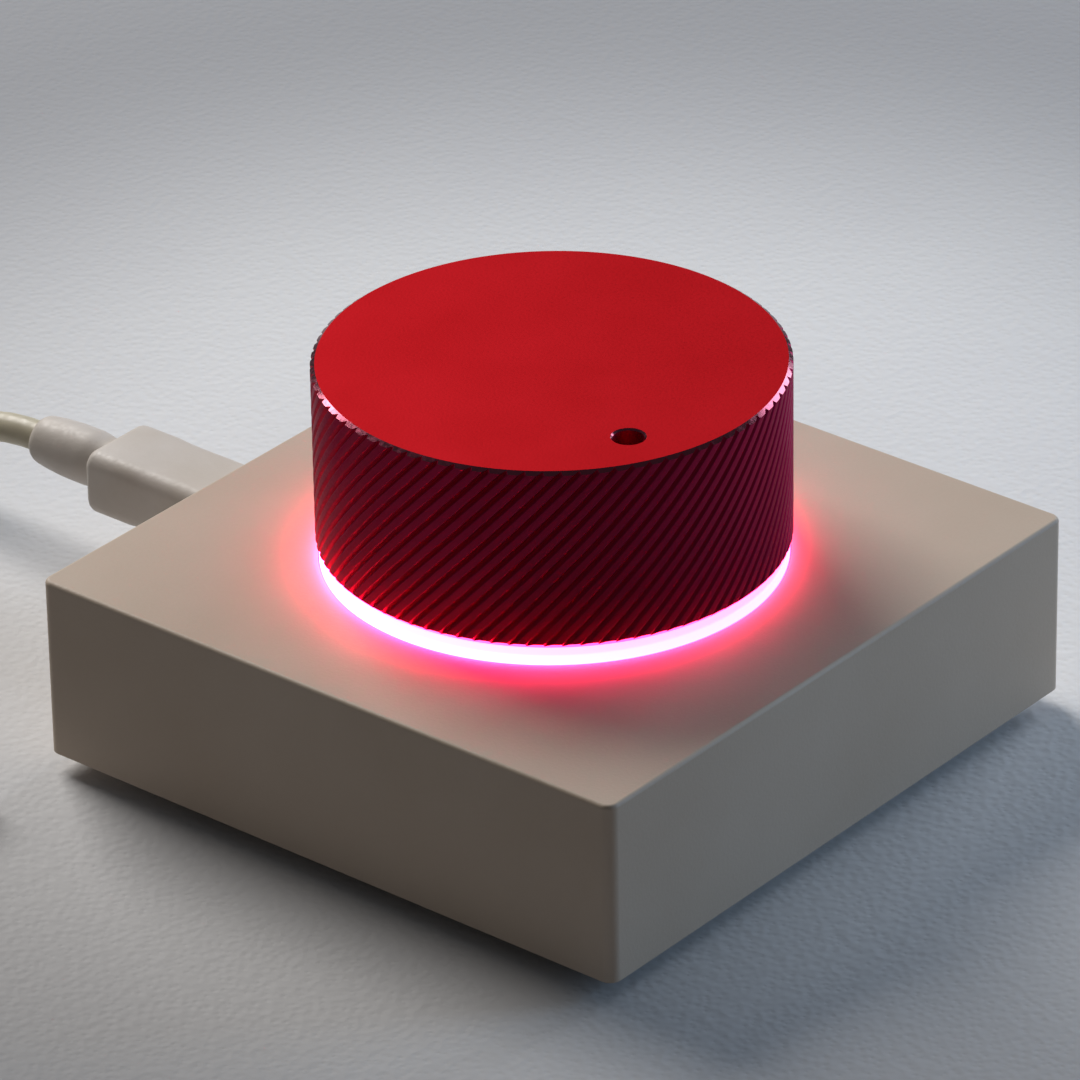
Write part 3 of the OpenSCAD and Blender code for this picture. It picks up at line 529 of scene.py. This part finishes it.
COIL_X, COIL_Y, COIL_TURNS = -28.1625, 118.0, 6.5
COIL_IN_R, COIL_OUT_R, COIL_PITCH = 14.8375, 28.1625, 4.1
COIL_LOW_Z, COIL_HIGH_Z = 2.55, 6.65
FAR_X, FAR_Z = -56.325, 4.0
FAR_FACE_Y, FAR_END_Y = 54, 78
COIL_STEPS = 24         # points of the lead in one turn of the coil
lead_out = [(0, 76.8, 12.4), (0, 79.2, 12.37), (0, 82, 12.04), (0, 85, 11.33), (0, 88.5, 10.11), (0, 92, 8.6),
            (0, 95.5, 6.96), (0, 99, 5.38), (0, 102.5, 4.03), (0, 106, 3.06), (0, 110.8, COIL_LOW_Z),
            (0, 114.4, COIL_LOW_Z)]
lead_back = [(FAR_X, 114.4, COIL_HIGH_Z), (FAR_X, 110.8, COIL_HIGH_Z), (FAR_X, 107, 6.4), (FAR_X, 103, 5.8),
             (FAR_X, 99, 5.1), (FAR_X, 95, 4.5), (FAR_X, 91, 4.1), (FAR_X, 88, 4)]


def coil_point(t):
    """Spirals in on the low layer, climbs where it reverses, and spirals out on the high layer."""
    half = COIL_TURNS / 2
    radius = COIL_IN_R + COIL_PITCH * abs(t - half)
    rise = min(1, max(0, (t - half + 0.25) / 0.5))
    return (COIL_X + radius * math.cos(TURN * t), COIL_Y + radius * math.sin(TURN * t),
            COIL_LOW_Z + COIL_PITCH * rise * rise * (3 - 2 * rise))


def make_lead():
    """A round cord swept along the route, with closed ends."""
    coil = [coil_point(i / COIL_STEPS) for i in range(int(COIL_TURNS * COIL_STEPS) + 1)]
    route = lead_out + coil + lead_back
    data = bpy.data.curves.new("usb_lead_run", "CURVE")
    data.dimensions = "3D"
    data.bevel_depth = CORD_R * MM
    data.bevel_resolution = 5
    data.use_fill_caps = True
    spline = data.splines.new("POLY")
    spline.points.add(len(route) - 1)
    for point, place in zip(spline.points, route):
        point.co = (place[0] * MM, place[1] * MM, place[2] * MM, 1)
    spline.use_smooth = True
    data.materials.append(LEAD_PVC)
    return object_from("usb_lead_run", data)


lead = settle(make_lead(), "lead", "lead_plastic", "usb_lead", "lead_coil", "lead_tail")


def rounded_end(y, width, height, radius, fillet, steps=6, towards=1):
    """Sections that round off the end of a bar at y."""
    out = []
    for i in range(steps + 1):
        angle = math.pi / 2 * i / steps
        inset = fillet * (1 - math.cos(angle))
        out.append((y + towards * fillet * (math.sin(angle) - 1), width - 2 * inset, height - 2 * inset,
                    max(radius - inset * 0.6, 0.5)))
    return out


def make_plug_body():
    """The small plug's overmould: rounded, with a shallow waist for the fingers and a soft rear end."""
    full, slope, waist = (10.8, 7.9, 1.8), (10.66, 7.8, 1.85), (10.6, 7.76, 1.9)
    sections = [(PLUG_FACE_Y, *full), (44, *full), (45.2, *full), (46.4, *slope), (48, *waist), (56, *waist),
                (58, *slope), (59.4, *full), (61, *full)]
    sections += rounded_end(PLUG_END_Y, *full, 1.3)
    return object_from("plug_overmould", bar("plug_overmould", sections, [PLUG_PVC], 8, 0, PLUG_Z))


def make_relief(name, length, neck_r, belly_r, end_r, x, y, z):
    """A strain relief: a smooth sleeve with a neck at the plug, a full belly and a rounded end."""
    profile = [(0, 0.02), (neck_r, 0.02), (neck_r, 0.45)]
    steps = 22
    for i in range(1, steps + 1):
        share = i / steps
        swell = math.sin(math.pi / 2 * min(1, share / 0.3)) ** 1.5
        fade = max(0, (share - 0.45) / 0.55) ** 2
        radius = neck_r + (belly_r - neck_r) * swell - (belly_r - end_r) * fade
        profile.append((radius, 0.45 + (length - 1.55) * share))
    profile += [(end_r - 0.1, length - 0.7), (end_r - 0.32, length - 0.3), (end_r - 0.65, length - 0.06),
                (end_r - 0.95, length), (0, length)]
    return object_from(name, onto_y(turned(name, profile, 40, [PLUG_PVC]), x, y, z))


def make_far_body():
    """The wide plug's overmould: five grooves between its finger ribs, and a rear that tapers to the sleeve."""
    full, groove = (15.4, 8, 1.6), (15.0, 7.6, 1.6)
    sections = rounded_end(FAR_FACE_Y, *full, 0.5, 4, -1)[::-1]
    for y in (58, 60, 62, 64, 66):
        sections += [(y - 0.5, *full), (y - 0.2, *groove), (y + 0.2, *groove), (y + 0.5, *full)]
    sections += [(72, *full), (75, 14.6, 7.8, 1.9)]
    sections += rounded_end(FAR_END_Y, 13.2, 7.6, 2.2, 1.2)
    return object_from("far_overmould", bar("far_overmould", sections, [PLUG_PVC], 6, FAR_X, FAR_Z))


def make_ties():
    """Two flat straps round the coil, each a closed rounded loop with blunt side edges."""
    gap, half_width, edge, thick = 0.15, 3.0, 2.9, 0.6
    near = math.sqrt((COIL_IN_R - CORD_R) ** 2 - half_width ** 2) - gap
    far = COIL_OUT_R + CORD_R + gap
    low, high = COIL_LOW_Z - CORD_R - gap, COIL_HIGH_Z + CORD_R + gap
    corners, faces = [], []
    for side in (-1, 1):
        loops = []
        for grow, radius in ((0.0, 0.8), (thick, 1.4)):
            loop = []
            for k, (sy, sz) in enumerate(((1, 1), (-1, 1), (-1, -1), (1, -1))):
                for i in range(7):
                    angle = TURN / 4 * (k + i / 6)
                    y = (near + far) / 2 + sy * ((far - near) / 2 + grow - radius) + radius * math.cos(angle)
                    z = (low + high) / 2 + sz * ((high - low) / 2 + grow - radius) + radius * math.sin(angle)
                    loop.append((COIL_Y + side * y, z))
            loops.append(loop)
        inner, outer = loops
        middle = [((a[0] + b[0]) / 2, (a[1] + b[1]) / 2) for a, b in zip(inner, outer)]
        rows = [[(x, y, z) for y, z in loop] for x, loop in
                ((-edge, inner), (-half_width, middle), (-edge, outer), (0, outer),
                 (edge, outer), (half_width, middle), (edge, inner), (0, inner))]
        base = len(corners)
        count = len(inner)
        for row in rows:
            corners += [(COIL_X + x, y, z) for x, y, z in row]
        for r in range(len(rows)):
            for i in range(count):
                a, b = base + r * count, base + (r + 1) % len(rows) * count
                faces.append((a + i, a + (i + 1) % count, b + (i + 1) % count, b + i))
    return object_from("coil_straps", closed_mesh("coil_straps", corners, faces, (), [STRAP]))


plug_piece = settle(make_plug_body(), "lead", "lead_plastic", "plug_body")
relief_piece = settle(make_relief("plug_sleeve", 11.2, 2.95, 3.35, 2.95, 0, PLUG_END_Y, PLUG_Z),
                      "lead", "lead_plastic", "strain_relief")
far_piece = settle(make_far_body(), "lead", "lead_plastic", "far_plug_body")
far_sleeve = settle(make_relief("far_sleeve", 10, 2.8, 3.15, 2.75, FAR_X, FAR_END_Y, FAR_Z),
                    "lead", "lead_plastic", "far_relief")
straps = settle(make_ties(), "lead", "tie_black", "lead_ties")


# ---- the knob ----

KNURL_TEETH = 84
KNURL_LEAN = math.radians(43)
# across one tooth: share of the spacing, and depth below the land; the corners are a little worn
TOOTH = ((0.0, 0.015), (0.04, 0.004), (0.15, 0.0), (0.275, 0.0), (0.4, 0.0), (0.51, 0.004), (0.55, 0.015),
         (0.58, 0.05), (0.66, 0.19), (0.74, 0.34), (0.775, 0.38), (0.81, 0.34), (0.89, 0.19),
         (0.97, 0.05), (1.0, 0.015))
TOP_FACET = 0.7         # height of the top chamfer against its width
BOTTOM_FACET = 0.7      # height of the bottom chamfer
MARK_ANGLE, MARK_REACH = -116.6, 20     # the indicator hole: degrees, and distance from the axis
MARK_R, MARK_DEPTH = 1.75, 2.0


def knurl_turn(z):
    """How far the knurl has turned at height z."""
    return math.tan(KNURL_LEAN) / KNOB_R * (z - (KNOB_Z + BOTTOM_FACET))


def make_tooth():
    """One tooth's wedge of the knob: hollow underside, bottom chamfer, knurl and top chamfer."""
    bore, boss, hollow = 5.52, 8, 23.25                     # radii
    bore_top, boss_end, ceiling = 38.32, 26.7, 41.3         # heights
    inside = [(0, bore_top), (bore, bore_top), (bore, boss_end), (boss, boss_end), (boss, ceiling),
              (hollow, ceiling), (hollow, KNOB_Z)]
    rows = 30
    corners, marked, faces = [], set(), []
    for share, depth in TOOTH:
        reach = KNOB_R - depth
        low = KNOB_Z + (reach - BOTTOM_EDGE_R)
        high = KNOB_TOP - TOP_FACET * (reach - TOP_EDGE_R)
        path = inside + [(BOTTOM_EDGE_R, KNOB_Z)]
        path += [(reach, low + (high - low) * i / rows) for i in range(rows + 1)]
        path.append((TOP_EDGE_R, KNOB_TOP))
        for radius, z in path:
            angle = TURN * share / KNURL_TEETH + knurl_turn(max(z, KNOB_Z) if radius > hollow else KNOB_Z)
            corners.append((radius * math.cos(angle), radius * math.sin(angle), z))
    height = len(inside) + rows + 3
    for c in range(len(TOOTH) - 1):
        for r in range(height - 1):
            if r in (len(inside), height - 2):
                marked.add(len(faces))
            a, b = c * height + r, (c + 1) * height + r
            faces.append((a, b, b + 1, a + 1))
    work = bmesh.new()
    points = [work.verts.new(Vector(p) * MM) for p in corners]
    mark = work.faces.layers.bool.new("second_finish")
    for i, face in enumerate(faces):
        work.faces.new([points[k] for k in face])[mark] = i in marked
    bmesh.ops.remove_doubles(work, verts=work.verts, dist=SAME_POINT)
    mesh = bpy.data.meshes.new("tooth")
    work.to_mesh(mesh)
    work.free()
    return mesh


def make_knob():
    """The ring of teeth, closed by the blasted top face round the chamfered indicator hole."""
    knob = ring_of("knob_turned", make_tooth(), KNURL_TEETH, 0, 0, KNURLED_RED, CUT_RED)
    mesh = knob.data
    mesh.materials.append(BLASTED_RED)
    blasted = len(mesh.materials) - 1
    work = bmesh.new()
    work.from_mesh(mesh)
    rim = [e for e in work.edges if e.is_boundary and abs(e.verts[0].co.z - KNOB_TOP * MM) < 1e-6]
    turn, reach = math.radians(MARK_ANGLE), MARK_REACH
    middle = Vector((reach * math.cos(turn), reach * math.sin(turn), 0))
    hole = [(MARK_R + 0.2, KNOB_TOP), (MARK_R, KNOB_TOP - 0.2), (MARK_R, KNOB_TOP - (MARK_DEPTH - 0.1)),
            (MARK_R - 0.15, KNOB_TOP - MARK_DEPTH)]
    steps, rings = 48, []
    for radius, z in hole:
        ring = []
        for i in range(steps):
            angle = TURN * i / steps
            corner = middle + Vector((radius * math.cos(angle), radius * math.sin(angle), z))
            ring.append(work.verts.new(corner * MM))
        rings.append(ring)
    for band, (outer, inner) in enumerate(zip(rings, rings[1:])):
        for i in range(steps):
            face = work.faces.new((outer[i], outer[(i + 1) % steps], inner[(i + 1) % steps], inner[i]))
            face.material_index = 1 if band == 0 else 0         # the hole's chamfer is cut bright
    work.faces.new(rings[-1])
    edge = [work.edges.get((rings[0][i], rings[0][(i + 1) % steps])) for i in range(steps)]
    filled = bmesh.ops.triangle_fill(work, edges=rim + edge, use_beauty=True, use_dissolve=False)
    for face in filled["geom"]:
        if isinstance(face, bmesh.types.BMFace):
            face.material_index = blasted
    bmesh.ops.recalc_face_normals(work, faces=work.faces)
    work.to_mesh(mesh)
    work.free()
    soften(mesh)
    return knob


settle(make_knob(), "knob", "knob_red", "knob")


# ---- the lit ring and its lamps ----

LAMPS, LAMP_RING_R = 16, 21.7


def make_light_ring():
    """Frosted ring: two walls under a lid, with rounded upper edges. Only what shows above the box is lit."""
    rim, top = 25.9, 25.0
    profile = [(rim, 19.2), (rim, 23.7), (rim, 24.7), (25.877, 24.815), (25.812, 24.912), (25.715, 24.977),
               (25.6, top), (21.5, top), (15.3, top), (15.1, 24.93), (15.0, 24.7), (15.0, 20.4), (16.2, 20.4),
               (16.2, 24.0), (24.7, 24.0), (24.7, 19.2)]
    return object_from("light_ring_frosted", turned("light_ring_frosted", profile, 192, [DULL_RIM, LIT_RIM],
                                                    (1, 2, 3, 4, 5, 6), True))


settle(make_light_ring(), "base", "ring_light", "light_ring")


def make_lamps():
    """Sixteen square lamps: a white housing with a round cup of clear gel."""
    low, high = 20.4, 22.0
    profile = [(0, low), (square_of(2.42), low), (square_of(2.5), low + 0.15), (square_of(2.5), high - 0.1),
               (square_of(2.42), high), (2.15, high), (1.65, high - 0.38), (0, high - 0.4)]
    seed = turned("lamp", profile, 32, (), (5, 6))
    return ring_of("ring_lamps", seed, LAMPS, LAMP_RING_R, TURN / LAMPS / 2, LAMP_WHITE, LAMP_GEL)


settle(make_lamps(), "base", "lamp", "leds")


# ---- feet and screws ----

FOOT_AT, SCREW_AT = 26.5, 34            # how far each foot and screw is from the middle lines


def make_feet():
    """Four inset rubber feet with rounded rims and a shallow hollow underneath."""
    profile = [(0, 0.25), (4.2, 0.25), (4.5, 0.12), (4.8, 0.02), (5.1, 0.0), (5.45, 0.03), (5.72, 0.14),
               (5.9, 0.32), (6.0, 0.6), (6.0, 2.65), (5.85, 2.8), (0, 2.8)]
    return ring_of("feet_moulded", turned("foot", profile, 64), 4, FOOT_AT * math.sqrt(2), TURN / 8, FOOT_RUBBER)


settle(make_feet(), "base", "foot_rubber", "rubber_feet")


def threaded(low, high, radius, depth, pitch):
    """Profile of a thread drawn as close rings, from z = low to z = high."""
    out, z = [], low
    while z + pitch < high - 0.3:
        out += [(radius - depth, z), (radius, z + pitch * 0.45), (radius, z + pitch * 0.6)]
        z += pitch
    return out + [(radius - depth, z), (radius - depth, high - 0.25), (radius - depth - 0.25, high), (0, high)]


def make_cover_screws():
    """Four M3 screws with low rounded heads and a hexagon socket."""
    profile = [(0, 3.0), (hexagon_of(0.9), 3.0), (hexagon_of(0.9), 2.36), (hexagon_of(0.98), 2.3), (2.3, 2.3),
               (2.52, 2.36), (2.66, 2.5), (2.7, 2.7), (2.7, 3.2), (2.6, 3.3), (1.2, 3.3)]
    seed = turned("cover_screw", profile + threaded(3.4, 12.3, 1.5, 0.28, 0.5), 36)
    return ring_of("cover_screws_cut", seed, 4, SCREW_AT * math.sqrt(2), TURN / 8, ZINC_SCREW)


settle(make_cover_screws(), "base", "screw_steel", "cover_screws")


# ---- moulded and metal parts whose CAD shape is right: smooth copies outside, new finishes inside ----

def smooth_copy(name, node, finish, body, slot):
    """A merged, smoothly shaded copy of a CAD node, whose flat faces stay flat."""
    mesh = nodes[node].data.copy()
    mesh.name = name
    work = bmesh.new()
    work.from_mesh(mesh)
    bmesh.ops.remove_doubles(work, verts=work.verts, dist=WELD)
    bmesh.ops.dissolve_limit(work, angle_limit=math.radians(0.3), verts=work.verts, edges=work.edges)
    work.to_mesh(mesh)
    work.free()
    for old in ("custom_normal", "sharp_edge"):
        if old in mesh.attributes:
            mesh.attributes.remove(mesh.attributes[old])
    mesh.materials.clear()
    mesh.materials.append(finish)
    soften(mesh, 28)
    piece = object_from(name, mesh)
    flat = piece.modifiers.new("flat_faces", "WEIGHTED_NORMAL")
    flat.weight = 90
    flat.keep_sharp = True
    return settle(piece, body, slot, node)


smooth_copy("box_moulded", "base_shell", BOX_ABS, "base", "box")
smooth_copy("cover_moulded", "bottom_cover", COVER_ABS, "base", "cover")

KEPT = {
    "knob_insert": TURNED_BRASS, "encoder_shaft": TURNED_STEEL, "switch_plunger": WHITE_NYLON,
    "switch_dome": PLATED, "encoder_body": BLACK_NYLON, "encoder_neck": PLATED, "encoder_washer": PLATED,
    "encoder_nut": PLATED, "encoder_pins": GOLD_PIN, "led_board": WHITE_BOARD, "main_board": GREEN_BOARD,
    "board_screws": ZINC_SCREW, "controller_chip": BLACK_NYLON, "crystal": PLATED, "capacitors": CERAMIC,
    "resistors": RESISTOR, "header_strip": BLACK_NYLON, "header_pins": GOLD_PIN, "usb_socket": PLATED,
    "socket_tongue": BLACK_NYLON, "plug_shell": PLATED, "far_plug_shell": PLATED, "far_plug_tongue": WHITE_NYLON,
}
for node, finish in KEPT.items():
    nodes[node].data.materials.clear()
    nodes[node].data.materials.append(finish)


# ---- floor, world and lamps ----

def make_floor():
    """A pale grey desk top with a fine pebbled skin and a painted pool of light: palest round the box, with
    painted shade making it greyer further off.
    """
    middle, painted_light_to, painted_shade_from, radius = (34 * MM, 22 * MM, 0), 50 * MM, 155 * MM, 4
    material, tree, shader, place = finish_of("desk_laminate", "#C3C4C7", 0.78)
    near = two_tones(tree, shader, noise(tree, place, 60, 3), "#DEDDDD", "#D9D8D9")
    beside = add(tree, "ShaderNodeVectorMath", {0: place}, {1: middle}, operation="SUBTRACT").outputs[0]
    away = add(tree, "ShaderNodeVectorMath", {0: beside}, operation="LENGTH").outputs["Value"]
    share = add(tree, "ShaderNodeMapRange", {"Value": away}, {"From Min": painted_light_to, "From Max": painted_shade_from},
                interpolation_type="SMOOTHSTEP").outputs[0]
    # painted shade: the desk's tone fades to a darker grey away from the box, in place of the lamp's light falling
    # off
    whole = add(tree, "ShaderNodeMix", {"Factor": share, "A": near}, data_type="RGBA")
    whole.inputs["B"].default_value = paint("#949497")
    tree.links.new(whole.outputs["Result"], shader.inputs["Base Color"])
    pebbles = add(tree, "ShaderNodeTexVoronoi", {"Vector": place},
                  {"Scale": 1 / (0.9 * MM), "Randomness": 1.0}, feature="SMOOTH_F1").outputs["Distance"]
    relief(tree, shader, pebbles, 0.09)
    mesh = bpy.data.meshes.new("floor")
    mesh.from_pydata([(radius * math.cos(TURN * i / 48), radius * math.sin(TURN * i / 48), 0) for i in range(48)],
                     [], [tuple(range(48))])
    mesh.materials.append(material)
    floor = object_from("floor", mesh)


def make_lamp(name, way, distance, size, watts, colour):
    """A soft rectangular lamp that looks at the object from a direction, at a distance in metres."""
    data = bpy.data.lights.new(name, "AREA")
    data.shape = "RECTANGLE"
    data.size, data.size_y = size
    data.energy = watts
    data.color = colour
    lamp = bpy.data.objects.new(name, data)
    way = Vector(way).normalized()
    lamp.location = way * distance
    lamp.rotation_mode = "QUATERNION"
    lamp.rotation_quaternion = way.to_track_quat("Z", "Y")
    bpy.context.scene.collection.objects.link(lamp)


def make_world():
    """A dim, slightly cool room."""
    world = bpy.data.worlds.new("soft_room")
    bpy.context.scene.world = world
    world.use_nodes = True
    world.node_tree.nodes.clear()
    sky = add(world.node_tree, "ShaderNodeBackground", values={"Color": (0.93, 0.96, 1.0, 1.0), "Strength": 0.07})
    add(world.node_tree, "ShaderNodeOutputWorld", {"Surface": sky.outputs[0]})


make_floor()
make_world()
make_lamp("key_rear", (0.22, 0.73, 0.64), 1.2, (0.6, 0.6), 13.0, (1.0, 0.975, 0.94))
make_lamp("side_right", (0.75, -0.60, 0.30), 0.8, (0.3, 0.3), 2.2, (0.46, 0.7, 1.0))
make_lamp("rear_right", (0.898, -0.036, 0.438), 0.9, (0.42, 0.3), 2.6, (0.78, 0.87, 1.0))
bpy.context.scene.view_settings.view_transform = "Standard"
